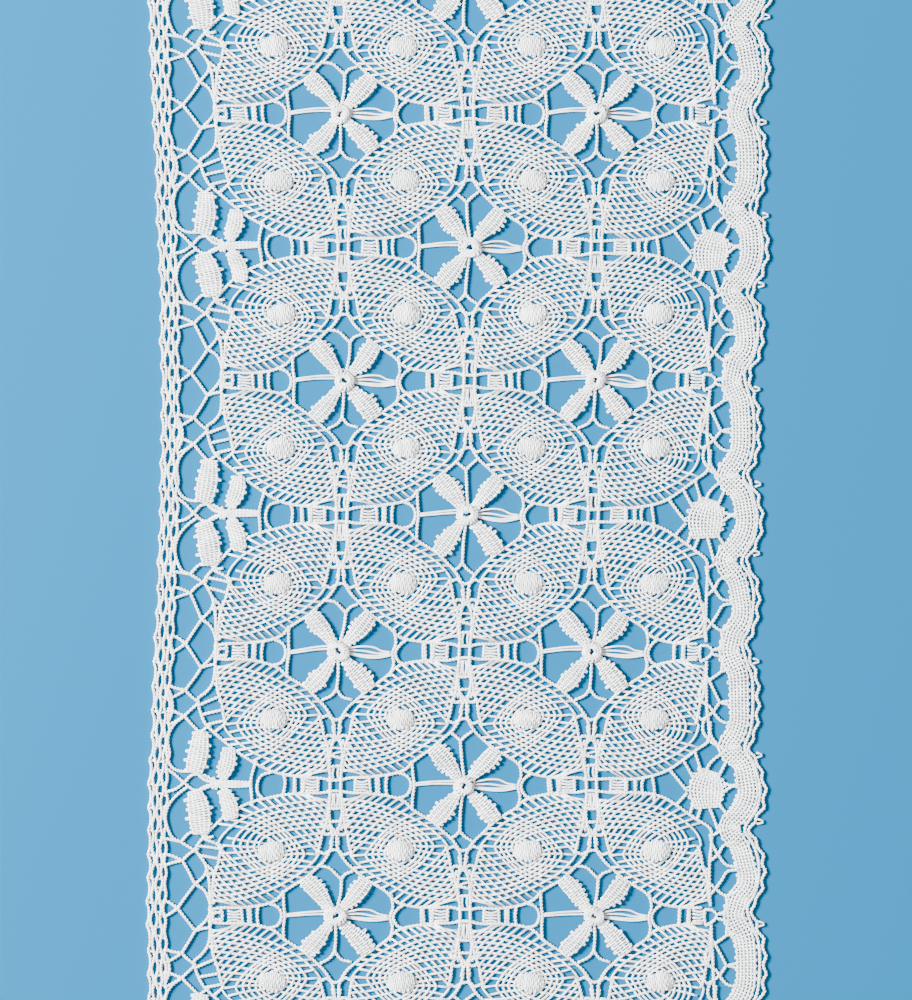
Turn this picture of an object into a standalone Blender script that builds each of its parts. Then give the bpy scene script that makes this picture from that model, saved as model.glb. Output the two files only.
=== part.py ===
"""A strip of wide white bobbin lace, worked in one piece and lying flat on its back.

The lace is one sheet. Its pattern is a chequered lattice of flower windows, with pointed
half-stitch leaves between them, a straight footside on the left and a scalloped headside
with picots on the right. Gaps that reach over about 4 mm are cut through, and the woven
petals, knots and leaf tallies stand up from the sheet.

+X runs across the strip to the scallops, +Y up its length and +Z out of its face.
"""
import math
from collections import namedtuple

import bmesh
import bpy

# Driving sizes, in metres
GRID = 0.0002                 # one step of the grid that the pricking is charted on
REPEAT = 0.05344              # length of one repeat
REPEATS = 4
COLUMN_STEP = 0.02546         # from one column of the lattice to the next
SHEET = 0.001                 # thickness of the lace where nothing is raised
PETAL_TOP = 0.0016            # height of woven petals and tallies above the underside
KNOT_TOP = 0.0020             # height of the flower knots and the leaf tallies
MEDALLION_TOP = 0.0014
RELIEF_ROOT = 0.0006          # raised shapes start inside the sheet
RELIEF_TAPER = 0.88           # size of a raised shape's top against its foot
SMALLEST_GAP = 0.0021         # narrower gaps are left to the thread work

# The same sizes in grid steps
PERIOD = REPEAT / GRID
ROW_STEP = PERIOD / 2
COLUMN = COLUMN_STEP / GRID
HALF_LENGTH = REPEATS * PERIOD / 2
END_BAND = 9                  # plain overcast band left at each cut end
END_UNEVEN = 1.5              # how unevenly the band's inner side runs
END_WAVE = 9                  # how far across the strip that unevenness changes
FIRST_FLOWER_ROW = 386.4      # topmost row whose two flowers are whole
COLUMNS = [-244.3 + COLUMN * i for i in range(5)]

# Half widths of the bars between the gaps, in grid steps
THREAD = 2.2
LEG = 3.0
PETAL = 7.5
TALLY = 8.5
SMALL_TALLY = 6.0

# Pins of one flower window, from its knot: x, y in grid steps
WINDOW_PINS = {
    "knot": (0, 0), "fork": (5, 38), "top_west": (-18, 50), "top_left": (-12, 65),
    "top_right": (5, 67), "top_east": (18, 46), "north_west": (-31, 37),
    "north_east": (31, 33), "south_west": (-31, -36), "south_east": (32, -34),
    "west_high": (-51, 24), "west": (-51, 0), "west_low": (-51, -24),
    "east_high": (56, 22), "east": (56, -2), "east_low": (53, -26),
    "low_fork": (-1, -37), "low_west": (-18, -48), "low_left": (-9, -65),
    "low_right": (5, -66), "low_east": (17, -49),
}

# Gaps of the window, each the pins round it
WINDOW_GAPS = [
    ("fork", "top_east", "top_right", "top_left", "top_west"),
    ("knot", "fork", "top_west", "north_west"),
    ("knot", "north_east", "top_east", "fork"),
    ("knot", "north_west", "west_high", "west"),
    ("knot", "west", "west_low", "south_west"),
    ("knot", "east", "east_high", "north_east"),
    ("knot", "south_east", "east_low", "east"),
    ("knot", "south_west", "low_west", "low_fork"),
    ("knot", "low_fork", "low_east", "south_east"),
    ("low_fork", "low_west", "low_left", "low_right", "low_east"),
]

# Bars of the window that are wider than a twisted pair
WINDOW_BARS = {
    ("knot", "north_west"): PETAL, ("knot", "north_east"): PETAL,
    ("knot", "south_west"): PETAL, ("knot", "south_east"): PETAL,
    ("knot", "east"): LEG,
}

# Pins of the half flower on the footside, from its lattice point
HALF_PINS = {
    "node": (8, 3), "bar_end": (48, 3), "bar_high": (48, 27), "bar_low": (47, -23),
    "big_root": (-6, 13), "big_tip": (-5, 53), "small_tip": (26, 31),
    "brim_west": (12, 52), "brim_east": (23, 38), "eave_end": (40, 34),
    "side_top": (-27, 64), "side_high": (-40, 57), "side": (-42, 38),
    "side_low": (-36, 18), "side_foot": (-22, 18),
    "low_root": (-8, -10), "low_tip": (-2, -44), "low_brim": (11, -45),
    "low_brim_east": (22, -38), "low_small_tip": (30, -34), "low_eave": (38, -30),
    "low_side_foot": (-22, -11), "low_side": (-34, -13), "low_side_mid": (-40, -32),
    "low_side_end": (-36, -49), "low_side_tip": (-26, -54), "low_side_east": (-14, -48),
}
HALF_GAPS = [
    ("big_root", "big_tip", "side_top", "side_high", "side", "side_low", "side_foot"),
    ("big_root", "node", "small_tip", "brim_east", "brim_west", "big_tip"),
    ("node", "bar_end", "bar_high", "eave_end", "small_tip"),
    ("node", "low_small_tip", "low_eave", "bar_low", "bar_end"),
    ("low_root", "low_tip", "low_brim", "low_brim_east", "low_small_tip", "node"),
    ("low_root", "low_side_foot", "low_side", "low_side_mid", "low_side_end",
     "low_side_tip", "low_side_east", "low_tip"),
]
HALF_BARS = {
    ("big_root", "big_tip"): TALLY, ("low_root", "low_tip"): TALLY,
    ("node", "small_tip"): SMALL_TALLY, ("node", "low_small_tip"): SMALL_TALLY,
    ("node", "bar_end"): LEG,
}

# Single gaps, from their lattice point: middle, length along the turn, the turn in degrees
# from +X, and the widths at the start, the belly and the end
Gap = namedtuple("Gap", "x y length turn start belly end")

# Holes beside each flower window
SIDE_HOLES = [
    Gap(-64, 0, 22, 90, 9, 19, 9),
    Gap(72, -2, 23, 90, 10, 23, 10),
]

# The hole at the end of the half flower's bar
BAR_HOLE = Gap(64, 2, 21, 90, 10, 22, 10)

# Round the medallion on the scalloped side
MEDALLION_GAPS = [
    Gap(-75, -6, 21, 90, 9, 15, 15),
    Gap(-50, -8, 29, 0, 20, 32, 2),
    Gap(-36, 9, 23, -52, 9, 13, 8),
    Gap(-23.5, 21, 17, -58, 8, 11, 8),
    Gap(-12, 33, 15, -100, 6, 11, 3),
    Gap(11.5, 12, 19, -70, 5, 11, 7),
    Gap(13, -18.5, 26, -95, 5, 14, 3),
    Gap(-35, -23.5, 22, -109, 7, 12, 11),
    Gap(-23.5, -33, 16, -115, 8, 9, 8),
    Gap(-12, -42, 15, -90, 2, 10, 7),
    Gap(-2, -60, 15, 90, 4, 14, 9),
]

# Ground net along the trail
TRAIL_GROUND_GAPS = [
    Gap(9, 59.5, 14, 90, 8, 13, 8),
    Gap(-5, 44, 20, 90, 8, 14, 8),
    Gap(9, 33, 16, 60, 8, 13, 6),
    Gap(-1.5, 13, 18.5, 90, 8, 12.5, 6),
    Gap(-2, -14.5, 16, 90, 6, 12, 10),
    Gap(6.5, -33.5, 20, -75, 10, 15, 5),
    Gap(-9, -43, 21, -68, 5, 14, 7),
    Gap(7.5, -62.5, 15, -80, 11, 12, 5),
    Gap(-1, -78, 21, -90, 4, 15, 6),
]

# Ground net along the footside
FOOT_GROUND_GAPS = [
    Gap(-25, 30, 38, -95, 10, 25, 12),
    Gap(-6.5, 47, 24, -75, 8, 13, 3),
    Gap(-6, 5.5, 39, -90, 6, 22, 3),
    Gap(-25, -18, 38, -90, 9, 25, 10),
    Gap(-6, -32.5, 26, -95, 3, 18, 8),
    Gap(-20.5, -52, 20, -90, 6, 15, 6),
    Gap(7, -54.5, 19, 0, 7, 12, 8),
    Gap(-7, -68, 20, -80, 4, 14, 4),
    Gap(-9, 78.5, 16, 40, 6, 12, 6),
    Gap(-20, 64, 12, -45, 6, 12, 6),
    Gap(4.5, 66.5, 15, 15, 4, 10, 7),
]

# Raised shapes, from their lattice point: both ends of the middle line, the widths at the
# root, the belly and the tip, and the height of the top in metres
Lump = namedtuple("Lump", "x0 y0 x1 y1 root belly tip top")
FLOWER_LUMPS = [
    Lump(-8, 10, -29, 35, 8, 12.5, 10, PETAL_TOP),
    Lump(9, 9.5, 29, 31, 8, 12.5, 10, PETAL_TOP),
    Lump(-8.5, -10, -29, -34, 8, 12.5, 10, PETAL_TOP),
    Lump(9, -9.5, 30, -32, 8, 12.5, 10, PETAL_TOP),
    Lump(-9, 0, 9, 0, 8, 19, 8, KNOT_TOP),
]
HALF_LUMPS = [
    Lump(-6, 15, -5, 50, 9, 14, 11, PETAL_TOP),
    Lump(-8, -12, -3, -41, 9, 14, 11, PETAL_TOP),
    Lump(12, 9, 24, 28, 6, 9.5, 7, PETAL_TOP),
    Lump(12, -4, 27, -30, 6, 9.5, 7, PETAL_TOP),
]
LEAF_LUMPS = [Lump(-12, -1, 12, 1, 9, 20, 11, KNOT_TOP)]
MEDALLION_LUMPS = [Lump(-27, -4, 4, -4, 14, 31, 18, MEDALLION_TOP)]

# The scalloped edge, from a lattice row that ends in a medallion: x and y in grid steps
Notch = namedtuple("Notch", "x y")
SCALLOPS = [
    Notch(297, 38), Notch(305, 34), Notch(307.5, 31), Notch(303, 28),
    Notch(308, 14), Notch(311, -4), Notch(308.5, -22),
    Notch(303, -33), Notch(306.5, -37), Notch(304, -40), Notch(296.5, -47),
    Notch(304, -60), Notch(308.5, -78), Notch(307, -100),
    Notch(303, -113), Notch(296, -126), Notch(300, -138), Notch(304.5, -142),
    Notch(301, -147), Notch(306, -162), Notch(307, -190), Notch(304, -212),
    Notch(298, -224),
]
FOOT_EDGE = -302              # the straight outer thread of the footside
HEAD_EDGE = 305               # the middle of the scallops
FOOT_TOOTH = 2.4              # how far the footside's pins pull it out
TOOTH_ROOT = 1                # how far it draws in between two pins
TOOTH_REACH = 0.4             # where that lies, as a share of the way to the next pin
TEETH_PER_REPEAT = 11
END_CORNER = 302              # where a cut end meets the scalloped edge
CORNER_CLEAR = 4              # no notch of the scallops lies closer to a cut end

# How the strip bows, in grid steps: how far it swings, over what length, and where it peaks
Bow = namedtuple("Bow", "swing length peak")
FOOT_BOW = Bow(7, 1000, 100)
HEAD_BOW = Bow(-5, 1160, -80)
SLACK = Bow(2.2, 520, 50)     # a stretch of the strip that is pushed together lengthwise


def swing(bow, y):
    """How far a bow moves the strip at height y."""
    return bow.swing * math.cos(2 * math.pi * (y - bow.peak) / bow.length)


def sway(x, y):
    """Where a charted point lies: the strip bows a little, as laid down by hand."""
    share = (x - FOOT_EDGE) / (HEAD_EDGE - FOOT_EDGE)
    aside = swing(FOOT_BOW, y) * (1 - share) + swing(HEAD_BOW, y) * share
    pull = 0
    if SLACK.peak - SLACK.length < y < SLACK.peak:
        pull = SLACK.swing - swing(SLACK, y)
    return (x + aside, y - pull)


def inset(points, widths):
    """Moves each side of a polygon in by its width and gives the new corners."""
    area = sum(p[0] * q[1] - q[0] * p[1] for p, q in zip(points, points[1:] + points[:1]))
    side = 1 if area > 0 else -1
    lines = []
    for (x0, y0), (x1, y1), width in zip(points, points[1:] + points[:1], widths):
        length = math.hypot(x1 - x0, y1 - y0)
        nx, ny = -(y1 - y0) / length * side, (x1 - x0) / length * side
        lines.append((nx, ny, nx * x0 + ny * y0 + width))
    corners = []
    for (a, b, c), (d, e, f) in zip(lines[-1:] + lines[:-1], lines):
        det = a * e - b * d
        corners.append(((c * e - b * f) / det, (a * f - c * d) / det))
    return corners


def pinned_gap(names, pins, bars):
    """One gap between pins, drawn in by the half widths of the bars round it."""
    points = [pins[name] for name in names]
    widths = []
    for one, two in zip(names, names[1:] + names[:1]):
        widths.append(bars.get((one, two), bars.get((two, one), THREAD)))
    return inset(points, widths)


def spindle(gap):
    """A six-sided gap or foot with its own widths at start, belly and end."""
    turn = math.radians(gap.turn)
    dx, dy = math.cos(turn), math.sin(turn)
    corners = []
    for along, width in ((-0.5, -gap.start), (0, -gap.belly), (0.5, -gap.end),
                         (0.5, gap.end), (0, gap.belly), (-0.5, gap.start)):
        out = width / 2
        corners.append((gap.x + dx * along * gap.length - dy * out,
                        gap.y + dy * along * gap.length + dx * out))
    return corners


def clip(points, limit, side):
    """Keeps the part of a polygon with side * y under side * limit."""
    kept = []
    for (x0, y0), (x1, y1) in zip(points, points[1:] + points[:1]):
        inside, next_inside = side * y0 <= side * limit, side * y1 <= side * limit
        if inside:
            kept.append((x0, y0))
        if inside != next_inside:
            share = (limit - y0) / (y1 - y0)
            kept.append((x0 + (x1 - x0) * share, limit))
    return kept


def placed(points, x, y):
    """A motif's polygon on the swaying strip, cut short at the end bands."""
    corners = [sway(px + x, py + y) for px, py in points]
    limit = HALF_LENGTH - END_BAND + END_UNEVEN * math.sin(corners[0][0] / END_WAVE)
    corners = clip(corners, limit, 1)
    if len(corners) > 2:
        corners = clip(corners, -limit, -1)
    return corners


def wide_enough(points):
    """True for a gap whose mean width is one that the sheet shows as a hole."""
    if len(points) < 3:
        return False
    pairs = list(zip(points, points[1:] + points[:1]))
    area = abs(sum(p[0] * q[1] - q[0] * p[1] for p, q in pairs)) / 2
    return math.sqrt(area) * GRID > SMALLEST_GAP


def lattice():
    """Each row's height and whether it holds two flowers, from past one end to the other."""
    count = 2 * REPEATS + 3
    top = FIRST_FLOWER_ROW + ROW_STEP * 2
    return [(top - ROW_STEP * i, i % 2 == 0) for i in range(count)]


def flowers():
    """The places of the flower knots."""
    for y, two in lattice():
        for x in ((COLUMNS[1], COLUMNS[3]) if two else (COLUMNS[2],)):
            yield x, y


def leaves():
    """The places of the leaf tallies, halfway between the lattice's points."""
    for y, _ in lattice():
        for left, right in zip(COLUMNS, COLUMNS[1:]):
            yield (left + right) / 2, y - ROW_STEP / 2


def all_gaps():
    """Every hole that is cut through the sheet."""
    window = [pinned_gap(names, WINDOW_PINS, WINDOW_BARS) for names in WINDOW_GAPS]
    window += [spindle(gap) for gap in SIDE_HOLES]
    half = [pinned_gap(names, HALF_PINS, HALF_BARS) for names in HALF_GAPS]
    half.append(spindle(BAR_HOLE))
    medallion = [spindle(gap) for gap in MEDALLION_GAPS]
    trail_ground = [spindle(gap) for gap in TRAIL_GROUND_GAPS]
    foot_ground = [spindle(gap) for gap in FOOT_GROUND_GAPS]
    groups = [(x, y, window) for x, y in flowers()]
    for y, two in lattice():
        groups.append((COLUMNS[0], y, foot_ground if two else half))
        groups.append((COLUMNS[4], y, trail_ground if two else medallion))
    gaps = []
    for x, y, shapes in groups:
        for shape in shapes:
            corners = placed(shape, x, y)
            if wide_enough(corners):
                gaps.append(corners)
    return gaps


def outline():
    """The strip's edge, with the footside's teeth and the headside's scallops."""
    foot = []
    tooth = PERIOD / TEETH_PER_REPEAT
    for i in range(REPEATS * TEETH_PER_REPEAT):
        y = HALF_LENGTH - tooth * (i + 0.5)
        foot.append((FOOT_EDGE + TOOTH_ROOT, y + tooth * TOOTH_REACH))
        foot.append((FOOT_EDGE - FOOT_TOOTH, y))
    head = []
    for y, two in lattice():
        if not two:
            head += [(notch.x, y + notch.y) for notch in SCALLOPS]
    head = [(x, y) for x, y in head if abs(y) < HALF_LENGTH - CORNER_CLEAR]
    top = [(END_CORNER, HALF_LENGTH), (FOOT_EDGE, HALF_LENGTH)]
    bottom = [(FOOT_EDGE, -HALF_LENGTH), (END_CORNER, -HALF_LENGTH)]
    ring = top + foot + bottom + head[::-1]
    return [sway(x, y) for x, y in ring]


def all_lumps():
    """Each raised shape as its foot's corners and the height of its top."""
    groups = [(x, y, FLOWER_LUMPS) for x, y in flowers()]
    groups += [(x, y, LEAF_LUMPS) for x, y in leaves()]
    for y, two in lattice():
        if not two:
            groups.append((COLUMNS[0], y, HALF_LUMPS))
            groups.append((COLUMNS[4], y, MEDALLION_LUMPS))
    lumps = []
    for x, y, shapes in groups:
        for lump in shapes:
            dx, dy = lump.x1 - lump.x0, lump.y1 - lump.y0
            foot = Gap((lump.x0 + lump.x1) / 2, (lump.y0 + lump.y1) / 2,
                       math.hypot(dx, dy), math.degrees(math.atan2(dy, dx)),
                       lump.root, lump.belly, lump.tip)
            whole = [sway(px + x, py + y) for px, py in spindle(foot)]
            if max(abs(py) for _, py in whole) < HALF_LENGTH - END_BAND:
                lumps.append((whole, lump.top))
    return lumps


def add_outline(curve, points):
    """One closed ring of straight steps on a flat curve."""
    spline = curve.splines.new("POLY")
    spline.points.add(len(points) - 1)
    for point, (x, y) in zip(spline.points, points):
        point.co = (x * GRID, y * GRID, 0, 1)
    spline.use_cyclic_u = True


def pierced_sheet(material):
    """The flat sheet with every gap through it, as a closed mesh."""
    curve = bpy.data.curves.new("lace_outline", "CURVE")
    curve.dimensions = "2D"
    curve.fill_mode = "BOTH"
    curve.extrude = SHEET / 2
    add_outline(curve, outline())
    for gap in all_gaps():
        add_outline(curve, gap)
    flat = bpy.data.objects.new("lace_outline", curve)
    bpy.context.scene.collection.objects.link(flat)
    flat.location.z = SHEET / 2
    bpy.context.view_layer.update()
    evaluated = flat.evaluated_get(bpy.context.evaluated_depsgraph_get())
    mesh = bpy.data.meshes.new_from_object(evaluated)
    mesh.transform(flat.matrix_world)
    bpy.data.objects.remove(flat)
    bpy.data.curves.remove(curve)
    weld(mesh)
    sheet = bpy.data.objects.new("lace", mesh)
    mesh.materials.clear()
    mesh.materials.append(material)
    return sheet


def weld(mesh):
    """Joins a mesh's loose caps and turns its faces out."""
    shape = bmesh.new()
    shape.from_mesh(mesh)
    bmesh.ops.remove_doubles(shape, verts=shape.verts, dist=0.00001)
    bmesh.ops.recalc_face_normals(shape, faces=shape.faces)
    shape.to_mesh(mesh)
    shape.free()


def raised_shapes(material):
    """All knots, petals and tallies as one mesh of tapered blocks."""
    shape = bmesh.new()
    for corners, top in all_lumps():
        still = GRID * (1 - RELIEF_TAPER) / len(corners)
        still_x = sum(x for x, _ in corners) * still
        still_y = sum(y for _, y in corners) * still
        foot = [shape.verts.new((x * GRID, y * GRID, RELIEF_ROOT)) for x, y in corners]
        face = shape.faces.new(foot)
        raised = bmesh.ops.extrude_face_region(shape, geom=[face])
        for vert in raised["geom"]:
            if isinstance(vert, bmesh.types.BMVert):
                vert.co.x = still_x + vert.co.x * RELIEF_TAPER
                vert.co.y = still_y + vert.co.y * RELIEF_TAPER
                vert.co.z = top
    bmesh.ops.recalc_face_normals(shape, faces=shape.faces)
    mesh = bpy.data.meshes.new("raised_shapes")
    shape.to_mesh(mesh)
    shape.free()
    mesh.materials.append(material)
    return bpy.data.objects.new("raised_shapes", mesh)


def white_cotton():
    """The thread's plain white."""
    material = bpy.data.materials.new("white_cotton")
    material.use_nodes = True
    shader = material.node_tree.nodes["Principled BSDF"]
    shader.inputs["Base Color"].default_value = (0.86, 0.87, 0.86, 1)
    shader.inputs["Roughness"].default_value = 0.85
    shader.inputs["Metallic"].default_value = 0
    return material


def collection(name):
    """A named collection in the scene."""
    made = bpy.data.collections.new(name)
    bpy.context.scene.collection.children.link(made)
    return made


def centred_together(lace, relief):
    """Moves sheet and relief by the same step, so that the box's middle is the origin."""
    xs = [vert.co.x for vert in lace.data.vertices]
    ys = [vert.co.y for vert in lace.data.vertices]
    shift_x, shift_y = (min(xs) + max(xs)) / 2, (min(ys) + max(ys)) / 2
    for thing in (lace, relief):
        for vert in thing.data.vertices:
            vert.co.x -= shift_x
            vert.co.y -= shift_y


def build():
    """The whole lace: the pierced sheet with its raised shapes joined on."""
    for thing in list(bpy.data.objects):
        bpy.data.objects.remove(thing)
    material = white_cotton()
    parts = collection("bobbin_lace")
    cutters = collection("joined_shapes")
    lace = pierced_sheet(material)
    parts.objects.link(lace)
    relief = raised_shapes(material)
    cutters.objects.link(relief)
    relief.hide_render = True
    relief.display_type = "WIRE"
    centred_together(lace, relief)
    union = lace.modifiers.new("raised_shapes", "BOOLEAN")
    union.operation = "UNION"
    union.solver = "EXACT"
    union.object = relief


build()
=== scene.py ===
# %% [markdown]
# # A strip of bobbin lace, thread by thread
# Bobbin lace is cloth without a loom. Dozens of threads hang from bobbins, and the maker
# crosses and twists them round pins. Nothing in it is cut from a sheet, so this script lays
# every thread as a thin tube along the route that it takes in the real lace.
# The CAD model is loaded first. It fixes the size, and the threads replace its plain sheet.

# %% The frame
import math
from collections import namedtuple

import bpy
import numpy as np
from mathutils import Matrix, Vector


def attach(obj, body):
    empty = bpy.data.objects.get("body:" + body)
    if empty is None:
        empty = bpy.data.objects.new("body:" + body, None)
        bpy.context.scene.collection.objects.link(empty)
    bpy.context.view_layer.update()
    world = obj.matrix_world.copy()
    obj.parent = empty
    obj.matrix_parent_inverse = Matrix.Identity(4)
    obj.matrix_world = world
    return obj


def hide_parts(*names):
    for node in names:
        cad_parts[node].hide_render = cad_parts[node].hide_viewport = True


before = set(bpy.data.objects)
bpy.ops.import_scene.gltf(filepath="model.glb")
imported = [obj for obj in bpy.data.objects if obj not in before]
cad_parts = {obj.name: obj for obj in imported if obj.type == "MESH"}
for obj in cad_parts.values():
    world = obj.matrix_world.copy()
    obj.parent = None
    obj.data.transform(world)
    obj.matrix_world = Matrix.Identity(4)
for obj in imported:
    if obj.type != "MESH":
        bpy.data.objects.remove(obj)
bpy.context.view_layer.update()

# %% [markdown]
# ## The pricking
# A lace maker works over a pricking, a card with the pattern pricked on a grid. Here the
# pricking is a chart too. One step is 0.2 mm, x runs across the strip and y along it. The
# pattern's lattice has five columns, and a repeat holds two rows of it.

# %% The chart's sizes, in steps of 0.2 mm
STEP = 0.0002
REPEATS = 4
PERIOD = 267.2
ROW = PERIOD / 2
HALF_LENGTH = REPEATS * PERIOD / 2
COLUMN = 127.3
COLUMNS = [-244.3 + COLUMN * i for i in range(5)]
TOP_ROW = 386.4 + 2 * ROW
FOOT_X, HEAD_X = -302, 305
MID_X = 2.33                  # where the chart's x lies in the middle of the CAD box
ROWS = [(TOP_ROW - ROW * i, i % 2 == 0) for i in range(2 * REPEATS + 3)]
print("lattice of", len(ROWS), "rows and", len(COLUMNS), "columns")


# %% [markdown]
# ## Laying the chart down
# Lace that is laid down by hand is never quite straight. The strip bows by a millimetre or
# so, just as the CAD model does. On top of that each thread strays by up to half its own
# width, in waves of about a centimetre, so that no two motifs are quite the same.

# %% From the chart to the strip
LEFT_BOW, RIGHT_BOW = 7, -5   # how far each border bows
SLACK = 2.2                   # half of the most that the strip is drawn down
SLACK_FROM, SLACK_TO = -470, 50
STRAY = 0.34                  # the strength of each wave in a thread


def sway(x, y):
    """Moves charted points as the strip bows."""
    left = LEFT_BOW * np.cos(2 * math.pi * (y - 100) / 1000)
    right = RIGHT_BOW * np.cos(2 * math.pi * (y + 80) / 1160)
    share = (x - FOOT_X) / (HEAD_X - FOOT_X)
    slack = SLACK * (1 - np.cos(2 * math.pi * (SLACK_TO - y) / (SLACK_TO - SLACK_FROM)))
    pull = np.where((y > SLACK_FROM) & (y < SLACK_TO), slack, 0)
    return x + left * (1 - share) + right * share, y - pull


def stray(x, y):
    """How far a point of thread strays, as worked by hand."""
    across = np.sin(x / 9.1 + y / 23) + np.sin(y / 11.3 - x / 31) + np.sin((x + y) / 17.7)
    along = np.sin(y / 8.3 + x / 19) + np.sin(x / 12.7 - y / 29) + np.sin((x - y) / 15.1)
    return STRAY * across, STRAY * along


def lay(points):
    """Charted points, as x, y and height in steps, as places on the strip in metres."""
    x, y, height = np.asarray(points, float).T
    dx, dy = stray(x, y)
    x, y = sway(x + dx, y + dy)
    return np.column_stack([x - MID_X, y, height]) * STEP


print("the borders bow by up to", round(LEFT_BOW * STEP * 1000, 1), "mm")

# %% [markdown]
# ## Routes
# A route is a few charted points with a smooth line through them. The curve used here
# goes through every point that it is given, so the chart reads straight off the pattern.

# %% Smooth routes
HEM = 6                       # the threads stop this far inside the strip's cut ends
BETWEEN = 8                   # places worked out from one charted point to the next


def smooth(points, step):
    """A smooth line through charted points, with a point at each step of its length."""
    points = np.asarray(points, float)
    if len(points) > 2:
        ends = [2 * points[0] - points[1], 2 * points[-1] - points[-2]]
        p = np.vstack([ends[0], points, ends[1]])
        t = np.linspace(0, 1, BETWEEN, endpoint=False)[:, None, None]
        a, b, c, d = p[:-3], p[1:-2], p[2:-1], p[3:]
        curve = 0.5 * (2 * b + (c - a) * t + (2 * a - 5 * b + 4 * c - d) * t ** 2
                       + (3 * b - a - 3 * c + d) * t ** 3)
        line = np.vstack([curve.transpose(1, 0, 2).reshape(-1, p.shape[1]), points[-1]])
    else:
        line = points
    along = np.concatenate([[0], np.cumsum(np.linalg.norm(np.diff(line, axis=0), axis=1))])
    count = max(2, int(round(along[-1] / step)) + 1)
    places = np.linspace(0, along[-1], count)
    return np.column_stack([np.interp(places, along, column) for column in line.T])


def cut_to_length(route):
    """The parts of a route that lie between the strip's cut ends."""
    inside = np.abs(route[:, 1]) <= HALF_LENGTH - HEM
    if inside.all():
        return [route]
    edges = np.flatnonzero(np.diff(inside.astype(int))) + 1
    runs = np.split(route, edges)
    flags = inside[np.concatenate([[0], edges])]
    return [run for run, kept in zip(runs, flags) if kept and len(run) > 2]


print("three charted points give", len(smooth([(0, 0), (30, 9), (60, 0)], 3)), "points")

# %% [markdown]
# ## Thread
# The thread is a 0.4 mm cotton. A single thread is one tube. Most lines in the lace are a
# pair, two threads twisted round each other, which is what makes a leg of bobbin lace look
# like a fine cord. Each thread of a pair follows a helix round the route.

# %% Single threads and twisted pairs
THREAD = 1.0                  # radius of a thread, in steps
THREAD_STEP = 3               # from one point of a single thread to the next
MID = 2.0                     # height of the lace's middle above the underside
PITCH = 7.0                   # length of one whole twist
TURN_STEPS = 4                # points in each turn

single, paired = {}, {}


def add_thread(piece, route, height=MID):
    """A single thread along a charted route."""
    line = smooth(route, THREAD_STEP)
    for run in cut_to_length(np.column_stack([line, np.full(len(line), height)])):
        single.setdefault(piece, []).append(lay(run))


def add_pair(piece, route, height=MID, spread=0.85, pitch=PITCH, start=0.0):
    """A twisted pair along a charted route."""
    line = smooth(route, pitch / TURN_STEPS)
    for run in cut_to_length(line):
        heading = np.gradient(run, axis=0)
        heading /= np.linalg.norm(heading, axis=1)[:, None]
        side = np.column_stack([-heading[:, 1], heading[:, 0]])
        turn = 2 * math.pi * np.arange(len(run)) / TURN_STEPS + start
        for half in (0, math.pi):
            out = np.cos(turn + half) * spread
            up = np.sin(turn + half) * spread + height
            paired.setdefault(piece, []).append(
                lay(np.column_stack([run + side * out[:, None], up])))


print("a thread is", round(2 * THREAD * STEP * 1000, 2), "mm thick, and a pair turns once in",
      round(PITCH * STEP * 1000, 2), "mm")

# %% [markdown]
# ## Half-stitch leaves
# The pointed leaves between the flowers are half stitch, an open net of slanting threads.
# The threads come in two sets. One set bends round the leaf's tally from the left, the other
# from the right, and they pass over and under each other where they cross. The second set
# is the first one turned half round, so only one set is charted.

# %% Leaf chart, from the leaf's middle
# The pair along a leaf's upright edge.
EDGE = [(58, 54), (56, 38), (54.5, 26), (51, 16), (49, 5), (46, -4)]
# The pair that runs outside a leaf, beside another leaf or a window.
LADDER = [(58.5, 75), (58.3, 57), (57.3, 40), (58.5, 28), (61, 17), (61, 6), (58, -3),
          (52, -12), (45.6, -18), (33, -29.5), (23, -36), (12.6, -43), (6, -50), (-2, -54),
          (-12, -56.5), (-24, -58), (-36, -59), (-48, -59), (-60, -61), (-72, -61)]
# The same pair beside a medallion, and below and above a half flower, with its rungs.
NEAR_MEDALLION = [(58.5, 75), (58.3, 57), (57.3, 40), (57.5, 28), (58.5, 10), (60, -6),
                  (59, -22), (45, -32), (30, -42), (13, -52), (-3, -57), (-21, -60),
                  (-40, -60), (-60, -61), (-72, -61)]
BELOW_HALF = [(58.5, 75), (58.3, 57), (58.5, 44), (59.5, 30), (63, 15), (69, 5), (72, -3),
              (62, -17.5), (54, -26), (45.5, -34.5), (36, -41.5), (26, -46.5), (14, -51),
              (0, -54), (-12, -56.5), (-24, -58), (-36, -59), (-48, -59), (-61, -61)]
ABOVE_HALF = [(58.5, 75), (58.3, 57), (58.5, 44), (61, 34), (67, 26), (74, 20), (72, 10),
              (66, -4), (57, -13), (46, -23), (36, -31), (25, -38.5), (12, -46.5), (0, -53),
              (-12, -56.5), (-24, -58), (-36, -59), (-48, -59), (-61, -61)]
HALF_RUNGS = [(14, (54, 22)), (5, (51, 9)), (-5, (47, -1)), (-13, (46, -4))]
# Six threads over the top: how far left, where they end at the edge, bend and end below.
APEXES = [48, 34, 28, 22, 16, 12]
EDGE_ENDS = [52, 46.5, 41, 35.5, 30, 24]
BENDS = [(-30, -18), (-24, -17), (-19, -20), (-15, -21), (-11, -19), (-8, -15)]
ARC_ENDS = [2, 10, 17, 24, 31, 37]
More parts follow.
